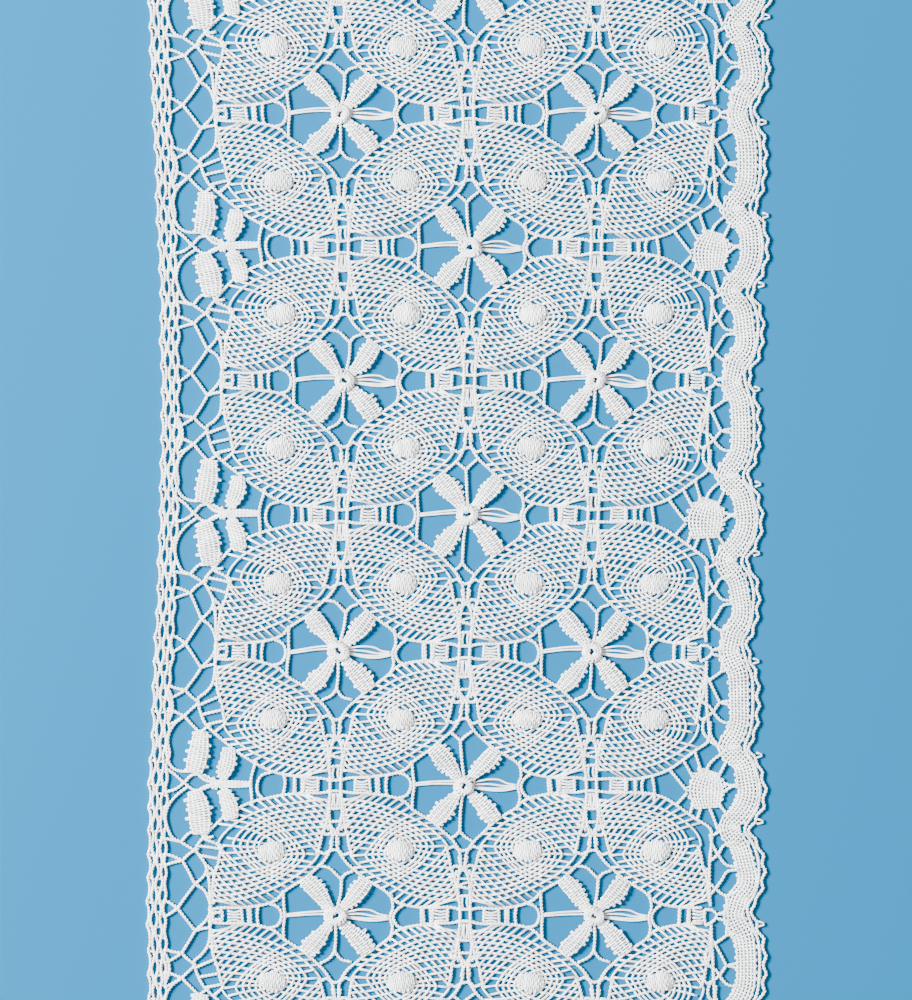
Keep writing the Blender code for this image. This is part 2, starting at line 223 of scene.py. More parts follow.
# Five threads from the tally to the right, then eight from the left edge downwards.
RAYS = [((9, 10), (54, 18)), ((11, 4), (50, 11)), ((12, -1), (49, 4)),
        ((11, -4), (46, -5)), ((8, -8), (42, -13))]
EDGE_STARTS = [-3, -9.5, -16, -22.5, -29, -35, -41, -47]
ARC_STOPS = [-5, -12, -19, -26, -33, -40, -46, -51]
print("threads in one set:", len(APEXES) + len(RAYS) + len(EDGE_STARTS))

# %% [markdown]
# The outermost thread draws a leaf's outline. It rises on the left and runs over the top to
# the right edge, like a quarter of an egg. Its curve number says how full that side is, and
# turned half round the same line is the leaf's lower arc.

# %% A leaf's outline
Side = namedtuple("Side", "curve wider rail")     # the lower its curve, the fuller a side
PLAIN = Side(1.6, 0, LADDER)


def arc(curve, apex=48, end=52, edge=58):
    """A leaf thread from its left apex over the top to the right edge."""
    angle = np.linspace(0, math.pi / 2, 60)
    return np.column_stack([edge - (edge + apex) * np.cos(angle),
                            4 + (end - 4) * np.sin(angle) ** curve])


def on_lower_arc(x, side):
    """The point of the leaf's lower arc at x."""
    line = -arc(side.curve, APEXES[0] + side.wider)
    order = np.argsort(line[:, 0])
    return x, np.interp(x, line[order, 0], line[order, 1])


def edge_x(y):
    """Where the right edge is at height y."""
    edge = np.array(EDGE[::-1])
    return float(np.interp(y, edge[:, 1], edge[:, 0]))


print("half a leaf is", round(edge_x(0) * STEP * 1000, 1), "mm wide at its middle")

# %% [markdown]
# Threads in lace go on until they meet something. To know where two lines cross, each bit
# of one is tested against each bit of the other, all at once with arrays. A leaf thread is
# then drawn on to the pair outside the leaf, and that last bit is the rung of a ladder.

# %% Where threads cross, and how far they reach
def crossings(one, two):
    """Where two lines cross, as places along each in points."""
    r, s = np.diff(one, axis=0)[:, None], np.diff(two, axis=0)[None]
    gap = two[None, :-1] - one[:-1, None]
    turn = r[..., 0] * s[..., 1] - r[..., 1] * s[..., 0]
    turn = np.where(np.abs(turn) < 1e-9, 1e-9, turn)
    t = (gap[..., 0] * s[..., 1] - gap[..., 1] * s[..., 0]) / turn
    u = (gap[..., 0] * r[..., 1] - gap[..., 1] * r[..., 0]) / turn
    hit = (t >= 0) & (t < 1) & (u >= 0) & (u < 1)
    i, j = np.nonzero(hit)
    return i + t[hit], j + u[hit]


RUNG = 28                     # the longest rung between a leaf and the pair outside it


def reach(line, rail):
    """Lengthens a thread in its own direction as far as the pair outside the leaf."""
    heading = line[-1] - line[-4]
    heading = heading / np.linalg.norm(heading)
    ray = np.array([line[-1], line[-1] + heading * RUNG])
    along, _ = crossings(ray, rail)
    length = RUNG * float(along.min()) if len(along) else 3
    steps = np.linspace(1, max(length, 1.1), 4)[:, None]
    return np.vstack([line, line[-1] + heading * steps])


falling, rising = np.array([(0.0, 4.0), (4.0, 0.0)]), np.array([(0.0, 0.0), (4.0, 4.0)])
print("two test lines cross at", [float(place[0]) for place in crossings(falling, rising)])

# %% [markdown]
# The six arcs come first, from the outermost inwards, and bend round the tally. Shorter
# threads from the left edge fill the lower corner, and rays leave the tally to the right.

# %% One set of a leaf's threads
def thread_set(own, other):
    """The set that bends round the tally from the left, from the outermost inwards."""
    lines, rail = [], np.array(other.rail, float)
    for k in range(len(APEXES)):
        apex = APEXES[k] + own.wider * (1 - k / len(APEXES))
        upper = arc(own.curve - 0.1 * k * own.curve / PLAIN.curve, apex, EDGE_ENDS[k],
                    edge_x(EDGE_ENDS[k]))
        end = on_lower_arc(ARC_ENDS[k], other)
        t = np.linspace(0, 1, 50)[:, None]
        lower = (1 - t) ** 2 * upper[0] + 2 * t * (1 - t) * BENDS[k] + t ** 2 * end
        lines.append(reach(smooth(np.vstack([upper[::-1], lower[1:]]), 1), rail))
    for start, end in zip(EDGE_STARTS, ARC_STOPS):
        edge = (-edge_x(-start), start)
        stop = on_lower_arc(end, other)
        middle = ((edge[0] + stop[0]) / 2 - 1.5, (edge[1] + stop[1]) / 2 - 1.0)
        lines.append(reach(smooth([edge, middle, stop], 1), rail))
    for start, end in RAYS:
        middle = ((start[0] + end[0]) / 2, (start[1] + end[1]) / 2 + 1)
        lines.append(smooth([start, middle, end], 1))
    return lines


print("points in a plain set:", sum(len(line) for line in thread_set(PLAIN, PLAIN)))

# %% [markdown]
# Where the two sets cross, a thread goes over one neighbour and under the next. Each thread
# needs just one point at a crossing, high or low by turns, which keeps the net light.

# %% Weaving the two sets together
OVER = 0.8                    # how far a thread rises or dips at a crossing
CLOSEST = 1.6                 # crossings nearer than this share one point
WIDEST = 7                    # a longer gap between points gets more of them


def woven_net(own, other):
    """A leaf's threads as points with heights, over and under by turns."""
    sets = [thread_set(own, other), [-line for line in thread_set(other, own)]]
    marks = [[[] for _ in lines] for lines in sets]
    for i, one in enumerate(sets[0]):
        for j, two in enumerate(sets[1]):
            rise = OVER if (i + j) % 2 else -OVER
            for t, u in zip(*crossings(one, two)):
                marks[0][i].append((t, rise))
                marks[1][j].append((u, -rise))
    net = []
    for lines, line_marks in zip(sets, marks):
        for line, found in zip(lines, line_marks):
            net.append(crossed(line, sorted(found)))
    return net


def crossed(line, found):
    """A thread through its crossings, with its ends and points in wide gaps between."""
    last = len(line) - 1
    places = [(0, 0.0)]
    for place, rise in found + [(last, 0.0)]:
        gap = place - places[-1][0]
        if gap < CLOSEST and place != last:
            continue
        count = int(gap // WIDEST)
        for i in range(count):
            places.append((places[-1][0] + gap / (count + 1), 0.0))
        places.append((place, rise))
    t = np.array([place for place, _ in places])
    x = np.interp(t, np.arange(last + 1), line[:, 0])
    y = np.interp(t, np.arange(last + 1), line[:, 1])
    return np.column_stack([x, y, [rise for _, rise in places]])


leaf_nets = {(PLAIN.curve, PLAIN.curve): woven_net(PLAIN, PLAIN)}
print("threads in a plain leaf:", len(leaf_nets[PLAIN.curve, PLAIN.curve]))

# %% [markdown]
# ## Kinds of leaf
# A leaf that faces a medallion or a half flower bulges more on that side, so there are a few
# kinds. The side toward the headside is drawn in by a tenth, and the one toward the footside
# is a little wider.

# %% Kinds of leaf
BORDER = {(0, True): Side(1.45, 1, ABOVE_HALF), (0, False): Side(1.15, 3, BELOW_HALF),
          (3, True): Side(1.0, 1, NEAR_MEDALLION), (3, False): Side(1.0, 1, NEAR_MEDALLION)}
FOOT_SQUEEZE, HEAD_SQUEEZE = 1.03, 0.9
LEAF_FOOT = -18               # an outside pair is upright above this height


def placed_leaf(points, x, y, lean, squeeze):
    """A leaf's own points on the chart, its side toward a border scaled by squeeze."""
    placed = np.array(points, float)
    outer = np.sign(x) * lean
    if abs(x) > COLUMN:
        placed[:, 0] *= np.where(placed[:, 0] * outer > 0, squeeze, 1)
    placed[:, 0] = placed[:, 0] * lean + x
    placed[:, 1] += y
    return placed


def rail_x(rail, height):
    """Where an outside pair is at a height on the leaf's upright side."""
    upright = np.array([point for point in rail if point[1] > LEAF_FOOT][::-1])
    return float(np.interp(height, upright[:, 1], upright[:, 0]))


print("kinds of side:", len({PLAIN.curve} | {side.curve for side in BORDER.values()}))

# %% [markdown]
# Leaves lean right and left by turns, like the black and white squares of a chessboard. Each
# lies halfway between four points of the lattice.

# %% The places of the leaves
leaf_spots = []
for row, (y, flowers) in enumerate(ROWS):
    for column in range(4):
        lean = 1 if (row + column) % 2 else -1
        leaf_spots.append(((COLUMNS[column] + COLUMNS[column + 1]) / 2, y - ROW / 2,
                           lean, column, flowers))
print("places for leaves, some of them past the cut ends:", len(leaf_spots))

# %% [markdown]
# The outside pairs of the leaves are laid with them. Such a pair stops where the strip's
# borders begin, and where the ground beside the trail has a ring of its own.

# %% Laying out all leaves
POINT = 50                    # a leaf's pointed ends lie farther than this from its middle
PAST_FOOT, PAST_HEAD = 1, 6   # how far outside pairs run past the first and last column
RING_HALF, RING_LEFT = 9, 17  # half the ring's height, and how far it reaches to the left
rails = []

for x, y, lean, column, flowers in leaf_spots:
    squeeze = FOOT_SQUEEZE if column == 0 else HEAD_SQUEEZE
    facing = BORDER.get((column, flowers), PLAIN)
    upper, lower = (PLAIN, facing) if flowers else (facing, PLAIN)
    key = (upper.curve, lower.curve)
    if key not in leaf_nets:
        leaf_nets[key] = woven_net(upper, lower)
    for line in leaf_nets[key]:
        placed = placed_leaf(line[:, :2], x, y, lean, squeeze)
        run = np.column_stack([placed, line[:, 2] + MID])
        for part in cut_to_length(run):
            single.setdefault("half_stitch_leaves", []).append(lay(part))
    for turn, side in ((1, lower), (-1, upper)):
        rail = placed_leaf(np.array(side.rail) * turn, x, y, lean, squeeze)
        past_border = (np.abs(rail[:, 1] - y) > POINT) & (rail[:, 0] < COLUMNS[0] - PAST_FOOT)
        window_row = y + ROW / 2 if flowers else y - ROW / 2
        in_ring = ((np.abs(rail[:, 1] - window_row) < RING_HALF)
                   & (rail[:, 0] > COLUMNS[4] - RING_LEFT))
        rails.append(rail[~past_border & ~in_ring & (rail[:, 0] < COLUMNS[4] + PAST_HEAD)])
        add_pair("ladder_pairs", rails[-1])
        for height, inner in HALF_RUNGS if side.rail in (ABOVE_HALF, BELOW_HALF) else []:
            rung = np.array([(rail_x(side.rail, height), height), inner])
            add_pair("leaf_edge_pairs", placed_leaf(rung * turn, x, y, lean, squeeze))
        add_pair("leaf_edge_pairs", placed_leaf(np.array(EDGE) * turn, x, y, lean, squeeze))
print("threads in all leaves:", len(single["half_stitch_leaves"]), "outside pairs:", len(rails))

# %% [markdown]
# ## Junctions
# Where four leaves meet with no flower between them, their outer pairs cross each other.
# Short rungs hold the two sides of each ladder together.

# %% Junction chart, from the lattice point
JUNCTION_PAIRS = [
    [(-17, 7), (-17.5, -6)], [(20, 7), (19, -6)],
    [(-5.5, -24), (0, -24.5), (6, -24)], [(-6, -37), (0, -37.5), (6.5, -37)],
    [(-6, -40), (-1, -46), (3, -53), (4, -61)], [(7, -40), (2, -46), (-2, -53), (-4, -61)],
    [(-6, 19), (6, 20)], [(-6, 30), (6, 27)],
    [(-6, 41), (-1, 47), (3, 54), (4, 61)], [(6, 41), (1, 47), (-3, 54), (-4, 61)],
    [(-31, 7), (-32, -7)], [(34, 7.5), (35, -7.5)],
    [(-41, 8), (-40, -8.5)], [(43, 8), (43.5, -8.5)],
]
NECK_PAIRS = [
    [(3, -49), (8, -51), (13, -47)], [(4, -68), (10, -71), (18, -67)],
    [(14, -39), (8, -42), (6, -46)],
]
JUNCTION_THREADS = [
    [(-3.5, -8), (-2.5, -15), (-4, -23)], [(-1, -8), (-1.5, -16), (-0.5, -23)],
    [(1.5, -8), (2, -15), (1, -23)], [(4, -8), (3, -16), (4, -23)],
    [(-2, 7), (-3, 12), (-2, 18)], [(3, 7), (2, 13), (3, 19)],
    [(-6, 31), (6, 34)], [(-6, 38), (6, 37)],
    [(-30, 5.5), (-23, 3.5), (-17, 5)], [(-30, 2), (-23, 0.5), (-17, 2)],
    [(-30, -2), (-23, -2.5), (-17, -1)], [(-30, -5.5), (-23, -5), (-17, -6)],
    [(20, 5), (27, 3), (34, 5.5)], [(20, 1.5), (27, 0.5), (34, 1.5)],
    [(20, -2), (27, -2), (34, -2.5)], [(20, -5.5), (27, -4.5), (34, -6.5)],
]
BORDER_PAIRS = [[(34, 7.5), (35, -7.5)], [(43, 8), (43.5, -8.5)]]
FOOT_PAIRS = [
    [(4, 9), (6, 0), (4, -9)], [(14, 7), (15, 0), (14, -7)], [(5, 3), (14, 3)],
    [(5, -4), (14, -4)],
]
print("routes at a junction:", len(JUNCTION_PAIRS) + 4 * len(NECK_PAIRS) + len(JUNCTION_THREADS))

# %% [markdown]
# A motif is charted once, from its own middle, and then moved to each place where it occurs.
# The neck between two leaves looks the same in all four corners of a junction, so one corner
# is charted and turned over. At the strip's borders only a few inner routes are laid.

# %% Laying the junctions
INNER = 8                     # threads farther in than this belong to the inner half


def junctions():
    """The lattice points without a flower."""
    for y, flowers in ROWS:
        for column in ((0, 2, 4) if flowers else (1, 3)):
            yield COLUMNS[column], y, column


def moved(route, x, y):
    """A motif's route at its place on the chart."""
    return [(px + x, py + y) for px, py in route]


def mirrored(routes, across, along):
    """Routes turned over across or along the lattice point, each by 1 or -1."""
    return [[(x * across, y * along) for x, y in route] for route in routes]


necks = [route for across in (1, -1) for along in (1, -1)
         for route in mirrored(NECK_PAIRS, across, along)]
for x, y, column in junctions():
    pairs = JUNCTION_PAIRS + necks
    if column == 0:
        pairs = BORDER_PAIRS + FOOT_PAIRS
    if column == 4:
        pairs = mirrored(BORDER_PAIRS, -1, 1)
    for route in pairs:
        add_pair("ladder_pairs", moved(route, x, y))
    for route in JUNCTION_THREADS:
        inward = np.mean([px for px, _ in route]) * (1 if column == 0 else -1) > INNER
        if column in (1, 2, 3) or inward:
            add_thread("rungs", moved(route, x, y))
print("places for junctions, some of them past the cut ends:", len(list(junctions())))

# %% [markdown]
# ## Flower windows
# A flower has a wound knot in the middle, four woven petals on the slant, and legs of
# twisted pairs up, down and to both sides. The legs up and down fork before they reach the
# rim, and in the middle column they fork later, with shorter arms. The right leg is several
# slack threads side by side.

# %% Window chart, from the flower's knot
WIDE_FORKS = [
    [(2, 9), (5, 24), (6, 38)],
    [(6, 38), (0, 44), (-6, 49), (-17, 51)], [(6, 38), (10, 43), (18, 46)],
    [(0, -9), (0, -24), (-1, -36)],
    [(-1, -36), (-6, -43), (-16, -48)], [(-1, -36), (5, -44), (15, -47)],
]
SHORT_FORKS = [
    [(0, 9), (-2, 26), (-3, 45)], [(-3, 45), (-7, 49), (-14, 54)], [(-3, 45), (2, 50), (10, 56)],
    [(-1, -9), (-3, -26), (-4, -46)],
    [(-4, -46), (-8, -51), (-14, -54)], [(-4, -46), (1, -52), (10, -58)],
]
WINDOW_PAIRS = [
    [(-52, 25), (-51, 10), (-50, 0), (-51, -12), (-51, -25)],
    [(55, 24), (57, 9), (54, -1), (56, -12), (53, -25)],
    [(-67, 13), (-57, 9), (-53, 0), (-57, -10), (-67, -13)],
    [(68, 12), (61, 7), (57, -1), (61, -10), (70, -14)],
    [(-8, 64), (0, 67), (7, 65)], [(-7, -64), (0, -67), (8, -64)],
    [(-76, 10), (-77, 0), (-76, -10)], [(-86, 9), (-86, -9)],
    [(85, 10), (84.5, -1), (85, -11)], [(94, 9), (94, -10)],
]
WINDOW_THREADS = [
    [(-8, 5), (-28, 4), (-50, 1.5)], [(-8, 2), (-28, 1.5), (-50, -0.5)],
    [(9, 3), (24, 5.5), (36, 5), (44, 1.5), (53, 0)],
    [(9, 1), (26, 1), (40, -1), (53, -1)],
    [(9, -1), (24, -3), (38, -3.5), (53, -2)], [(9, -2), (26, -5), (40, -5.5), (54, -3)],
]
print("routes in a window:", len(WIDE_FORKS) + len(WINDOW_PAIRS) + len(WINDOW_THREADS))

# %% [markdown]
# Windows and leaves share the lattice, as two windows in one row and one in the next.

# %% Laying the windows
def windows():
    """The places of the flower knots."""
    for y, flowers in ROWS:
        for column in ((1, 3) if flowers else (2,)):
            yield COLUMNS[column], y


for x, y in windows():
    forks = SHORT_FORKS if x == COLUMNS[2] else WIDE_FORKS
    for route in forks + WINDOW_PAIRS:
        add_pair("flower_pairs", moved(route, x, y))
    for route in WINDOW_THREADS:
        add_thread("rungs", moved(route, x, y))
print("places for windows, some of them past the cut ends:", len(list(windows())))

# %% [markdown]
# ## The footside and its half flowers
# The left border is the footside, the straight edge that is sewn to cloth. Beside it lie half
# flowers and a ground of crossing pairs by turns. A half flower has four tallies and a node
# in which all its pairs meet, drawn as seven short routes that lie across each other.

# %% Half flower chart, from its lattice point
HALF_PAIRS = [
    [(-10, 53), (-4, 58), (1, 61)],
    [(-25, 70.5), (-36, 61), (-43, 47), (-42, 32), (-37, 20), (-29, 15), (-20, 14)],
    [(-42, 18), (-33, 11), (-24, 2), (-12, -6), (4, 1)],
    [(-42, -7), (-33, -5), (-24, 2), (-16, 10), (-4, 10), (6, 5)],
    [(-21, -3), (-30, -10), (-38, -20), (-41, -32), (-38, -45), (-33, -54), (-25, -58)],
    [(-25, -58), (-16, -48), (-7, -49)], [(-25, -58), (-12, -66.5)],
    [(-5, -49), (1, -53), (7, -52)],
    [(48, 25), (44, 11), (43, 2), (44, -9), (45, -22)],
    [(64, 13), (54, 10), (50, 2), (51, -8), (58, -15)],
    [(75, 11), (77, 2), (76, -9)], [(86, 9), (86, -9)], [(94, 9), (94, -9)],
    [(9, 4), (26, 4.5), (43, 3)], [(9, 2), (26, 2), (43, 1.5)],
    [(9, 0), (26, -0.5), (43, 0)],
    [(-25, -58), (-45, -54)],
]
HALF_TALLIES = [
    ((-8, 54), (-14, 13), (14, 18, 21, 21, 17)), ((-13, -7), (-5, -48), (14, 21, 23, 22, 17)),
    ((14, 8), (21, 37), (8, 14, 16, 15, 12)), ((15, -4), (25, -34), (8, 14, 16, 15, 12)),
]
HALF_NODE = [
    [(-13, 14), (-5, 7), (8, 3), (15, 8)], [(-11, 13), (-3, 5), (8, 3), (16, 2)],
    [(-12, -8), (-2, -1), (8, 2), (16, 4)], [(-9, -7), (2, -1), (9, 2), (16, -4)],
    [(3, 7), (8, 4), (13, -2)], [(4, -3), (9, 1), (14, 7)], [(5, 8), (9, 2), (8, -4)],
]
print("routes in a half flower:", len(HALF_PAIRS) + len(HALF_NODE))

# %% [markdown]
# In the ground, two lines of pairs swing toward each other and apart again. They meet at
# pins, and from there other pairs go out to the footside and to the leaves.

# %% Ground chart beside the footside, from its lattice point
FOOT_GROUND_PAIRS = [
    [(-24, 57), (-18, 46), (-11, 32)], [(-11, 32), (-20, 19), (-28, 8)],
    [(-28, 8), (-19, -4), (-11, -15)], [(-11, -15), (-18, -27), (-25, -38)],
    [(-25, -38), (-18, -45), (-11, -50)], [(-11, -50), (-19, -57), (-25, -63)],
    [(-25, -63), (-18, -71), (-10, -79)], [(-24, 57), (-18, 63), (-12, 67), (-8, 69)],
    [(0.5, 52), (-2, 42), (-11, 32)],
    [(-11, 32), (-3, 27), (2, 18), (4, 7), (0, -4), (-11, -15)],
    [(-11, -15), (-4, -13), (4, -12)], [(5, -21), (12, -20)], [(3, -32), (12, -31)],
    [(-2, 42), (10, 44)], [(3, 12), (8, 13)], [(4, 3), (9, 2)],
    [(-24, 57), (-33, 55), (-42, 52)], [(-24, 57), (-32, 61), (-42, 64)],
    [(-28, 8), (-35, 13), (-42, 16)], [(-28, 8), (-35, 3), (-42, -1)],
    [(-25, -38), (-34, -36), (-42, -33)], [(-25, -38), (-33, -43), (-42, -47)],
    [(-25, -63), (-34, -59), (-42, -56)], [(-25, -63), (-34, -69), (-42, -73)],
    [(-42, -36), (-38, -45), (-37, -57), (-41, -68)],
]

for y, flowers in ROWS:
    routes = FOOT_GROUND_PAIRS if flowers else HALF_PAIRS + HALF_NODE
    for route in routes:
        add_pair("flower_pairs", moved(route, COLUMNS[0], y))
print("routes in a piece of ground:", len(FOOT_GROUND_PAIRS))

# %% [markdown]
# Four pairs run along the footside, and sway a little against each other. Single threads
# cross them at each pin and halfway between pins, and the edge pair bows out to each pin.

# %% The footside's own pairs
PINS = 11                     # pins in one repeat
TOOTH = PERIOD / PINS
UPRIGHTS = (-297.6, -293.4, -289.2, -285.2)
FIRM = 0.65                   # these pairs are pulled tighter than the others
teeth = [HALF_LENGTH - TOOTH * (i + 0.5) for i in range(REPEATS * PINS)]
edge_route = [(FOOT_X + 1, HALF_LENGTH)]
for y in teeth:
    edge_route += [(FOOT_X + 1.6, y + 7), (FOOT_X - 0.4, y), (FOOT_X + 1.6, y - 7)]
    add_thread("rungs", [(FOOT_X + 1, y), (FOOT_X + 8, y - 2), (FOOT_X + 18, y + 1)],
               height=MID - 0.5)
    add_thread("rungs", [(FOOT_X + 2, y - 12), (FOOT_X + 9, y - 10), (FOOT_X + 18, y - 14)],
               height=MID - 0.5)
add_pair("footside", edge_route, spread=FIRM)
along = np.arange(HALF_LENGTH, -HALF_LENGTH, -4)
for number, x in enumerate(UPRIGHTS):
    wave = (1.1 * np.sin(2 * math.pi * along / TOOTH + number * math.pi)
            + 0.5 * np.sin(along / 7.3 + number * 1.4))
    add_pair("footside", np.column_stack([x + wave, along]), spread=FIRM, start=number)
print("pins along the footside:", len(teeth))

# %% [markdown]
# ## The scalloped headside
# The right border is worked as a trail, a band of cloth stitch that winds along the
# scallops. Inside lie medallions of the same cloth, with legs like the spokes of a wheel.

# %% Medallion chart, from its lattice point
MEDALLION_LEGS = [
    [(-32, -6), (-48, 14)], [(-25, 7), (-36, 25)], [(-17, 13), (-23, 30)],
    [(-32, -8), (-48, -26)], [(-27, -20), (-33, -35)], [(-19, -22), (-25, -38)],
]
MEDALLION_PAIRS = [
    [(-12, 14), (-10, 20), (-4, 27), (5, 34)], [(1, 11), (8, 26)], [(-11, -22), (-3, -46)],
    [(5, 3), (13, 0), (19, 2)], [(5, -6), (13, -1), (19, -2)], [(0, -21), (4, -26), (8, -33)],
    [(-67, 9), (-65, -5), (-65, -17)], [(-85, 7), (-84, -11)], [(-94, 8), (-94, -10)],
    [(-8, 64), (-8, 51), (0, 40), (8, 35)], [(-8, 44), (2, 38)],
    [(-11, -50), (-9, -60), (-3, -72)], [(-8, -51), (2, -46)],
    [(-76, 9), (-78, 0), (-76, -11)],
]
print("legs of a medallion:", len(MEDALLION_LEGS))

# %% [markdown]
# A leg ends on the pair that runs outside a leaf. The chart gives its direction only, and the
# length is found by looking along the leg for the first such pair.

# %% Legs that reach their pair
LEG_SKIP, LEG_REACH = 3, 16   # the search starts past the cloth and ends past the chart


def as_far_as_rail(leg):
    """A straight leg that ends on the first outside pair in its way."""
    start, end = np.array(leg, float)
    heading = (end - start) / np.linalg.norm(end - start)
    ray = np.array([start + heading * LEG_SKIP, end + heading * LEG_REACH])
    hits = [float(along.min()) for along in (crossings(ray, rail)[0] for rail in rails)
            if len(along)]
    return [start, ray[0] + (ray[1] - ray[0]) * min(hits)] if hits else leg


print("pairs that a leg can end on:", len(rails))

# %% [markdown]
# Between two medallions lies a ground of pairs, with a small ring in its middle.

# %% Ground chart beside the trail, from its lattice point
TRAIL_GROUND_PAIRS = [
    [(-3, 62), (3, 72), (16, 76)], [(-3, 62), (-11, 55)], [(-3, 62), (4, 52), (14, 50)],
    [(-14, 48), (-14, 37), (-6, 28)], [(-6, 28), (0, 37), (5, 45), (15, 47)],
    [(-6, 28), (4, 21), (15, 26)], [(-6, 28), (-11, 22)], [(-17, 6), (-18, -2), (-17, -10)],
    [(4, 21), (6, 11), (4, 4), (-5, 1)], [(-17, 6), (-9, 5), (-5, 0), (-9, -6), (-17, -10)],
    [(-5, 1), (8, 2)], [(-5, -3), (6, -6)], [(-12, -23), (-9, -28)],
    [(6, -6), (4, -16), (3, -20), (-9, -28)], [(3, -20), (12, -17)],
    [(-9, -28), (-4, -38), (2, -50)], [(-9, -28), (-17, -35), (-18, -47), (-8, -55), (-5, -60)],
    [(2, -50), (14, -48)], [(2, -50), (14, -53)], [(2, -50), (-5, -60)],
    [(-5, -60), (3, -69), (14, -72)], [(-5, -60), (-16, -67), (-22, -60)],
    [(-5, -60), (-14, -68), (-15, -80), (-7, -90)],
]

for y, flowers in ROWS:
    routes = TRAIL_GROUND_PAIRS if flowers else MEDALLION_PAIRS
    for route in routes:
        add_pair("headside_pairs", moved(route, COLUMNS[4], y))
    for route in [] if flowers else MEDALLION_LEGS:
        add_pair("headside_pairs", as_far_as_rail(moved(route, COLUMNS[4], y)))
print("pairs of thread beside the trail:", len(paired["headside_pairs"]) // 2)

# %% [markdown]
# ## Woven parts
# Petals, tallies, the medallions and the trail are all cloth stitch: a worker thread runs
# to and fro over and under the lengthwise ones. One function weaves them all. It follows
# an axis, its width swells and narrows, and a tally or petal is crowned so that it stands up.

# %% Weaving
OUTERMOST = 0.86              # the last lengthwise thread, as a share of half the width


def weave(piece, axis, widths, passives, pitch, height=MID, crown=0.0, wave=OVER, cover=0.0,
          ragged=0.06):
    """Cloth stitch along an axis, with its width at even places along it."""
    line = smooth(axis, pitch)
    heading = np.gradient(line, axis=0)
    heading /= np.linalg.norm(heading, axis=1)[:, None]
    side = np.column_stack([-heading[:, 1], heading[:, 0]])
    part = np.linspace(0, 1, len(line))
    half = np.interp(part, np.linspace(0, 1, len(widths)), widths) / 2
    arch = height + crown * np.sqrt(np.sin(math.pi * np.clip(part, 0.04, 0.96)))
    places = np.linspace(-OUTERMOST, OUTERMOST, passives)
    rows = np.arange(len(line))

    def raised(place, rise):
        """The level of the cloth at a place across it."""
        return height + (arch - height) * (1 - 0.75 * place * place) + rise

    worker, passive_lines = [], []
    for i in rows:
        order = range(passives) if i % 2 else range(passives - 1, -1, -1)
        slack = 1.03 + ragged * (math.sin(i * 1.9 + line[i, 0]) + math.sin(i * 0.8 + line[i, 1]))
        edge = -slack if i % 2 else slack
        ahead = line[min(i + 1, len(line) - 1)] - line[max(i - 1, 0)]
        for share in (-0.38, -0.12):
            worker.append([*(line[i] + ahead * share + side[i] * half[i] * edge),
                           raised(edge, 0.0)[i]])
        for p in order:
            rise = wave if (p + i) % 2 else -wave
            worker.append([*(line[i] + side[i] * half[i] * places[p]),
                           raised(places[p], rise)[i]])
    for p, place in enumerate(places):
        level = raised(place, np.where((p + rows) % 2, -wave, wave)) - cover
        points = line + side * (half * place)[:, None]
        passive_lines.append(np.column_stack([points, level]))
    for run in [np.array(worker)] + passive_lines:
        for kept in cut_to_length(run):
            single.setdefault(piece, []).append(lay(kept))


print("lengthwise threads fill", round(OUTERMOST * 100), "% of the width of a woven part")

# %% [markdown]
# Petals and the tallies of half flowers stand up from the lace and fray a little at their
# sides. The tally in a leaf is short and broad, closely packed, and stands highest.

# %% Petals, tallies and leaf dots
STANDING = {"height": 3.2, "crown": 1.5, "wave": 0.7, "cover": 0.2, "ragged": 0.15}
PACKED = {"height": 3.2, "crown": 3.6, "wave": 0.4, "cover": 0.8, "ragged": 0.09}
PETALS = [((-6, 8), (-30, 38), (8, 13, 17, 18, 14)), ((7, 8), (31, 35), (7, 12, 17, 18, 15)),
          ((-6, -8), (-30, -37), (7, 12, 16, 18, 13)), ((7, -8), (32, -37), (8, 13, 18, 19, 15))]


def bowed(start, end, x, y, bow=1.5):
    """An axis from start to end that bows a little to one side."""
    middle = ((start[0] + end[0]) / 2 + bow, (start[1] + end[1]) / 2)
    return moved([start, middle, end], x, y)


for x, y in windows():
    for start, end, widths in PETALS:
        weave("petals", bowed(start, end, x, y), widths, 4, 2.5, **STANDING)
for y, flowers in ROWS:
    if not flowers:
        for start, end, widths in HALF_TALLIES:
            weave("petals", bowed(start, end, COLUMNS[0], y), widths, 5, 2.5, **STANDING)
for x, y, lean, column, flowers in leaf_spots:
    weave("leaf_dots", [(x - 12, y - 1.5 * lean), (x, y), (x + 12, y + 1.5 * lean)],
          (8, 17, 20, 19, 10), 5, 2.0, **PACKED)
print("threads in petals:", len(single["petals"]), "and in leaf tallies:",
      len(single["leaf_dots"]))

# %% [markdown]
# The trail is one long band with six lengthwise threads. A medallion is a short wide one
# with ten. Neither stands up, so both are woven at the height of the lace's middle.

# %% Trail and medallions
TRAIL = [(288.5, -83), (284.5, -63), (276, -52), (272.5, -42), (283, -31), (290, -20),
         (293, -8), (292, 4), (288, 22), (273, 38), (281, 52), (286, 64), (287, 82),
         (286.5, 100), (285, 113), (280, 123), (276, 133), (278, 144), (281, 154),
         (288.5, 164), (290, 174)]
MEDALLION = [(-8, 14.5), (-11, 4), (-13, -8), (-12.5, -22.5)]
rows_up = [y for y, flowers in ROWS if not flowers][::-1]
trail = [(x, y + base) for base in rows_up for x, y in TRAIL]
weave("headside_trail", trail, (20, 20), 6, 3.2)
for y, flowers in ROWS:
    if not flowers:
        weave("medallions", moved(MEDALLION, COLUMNS[4], y), (19, 30, 38, 38, 33, 28), 10, 3.1)
print("places for medallions:", sum(not flowers for _, flowers in ROWS),
      "charted points of the trail:", len(trail))

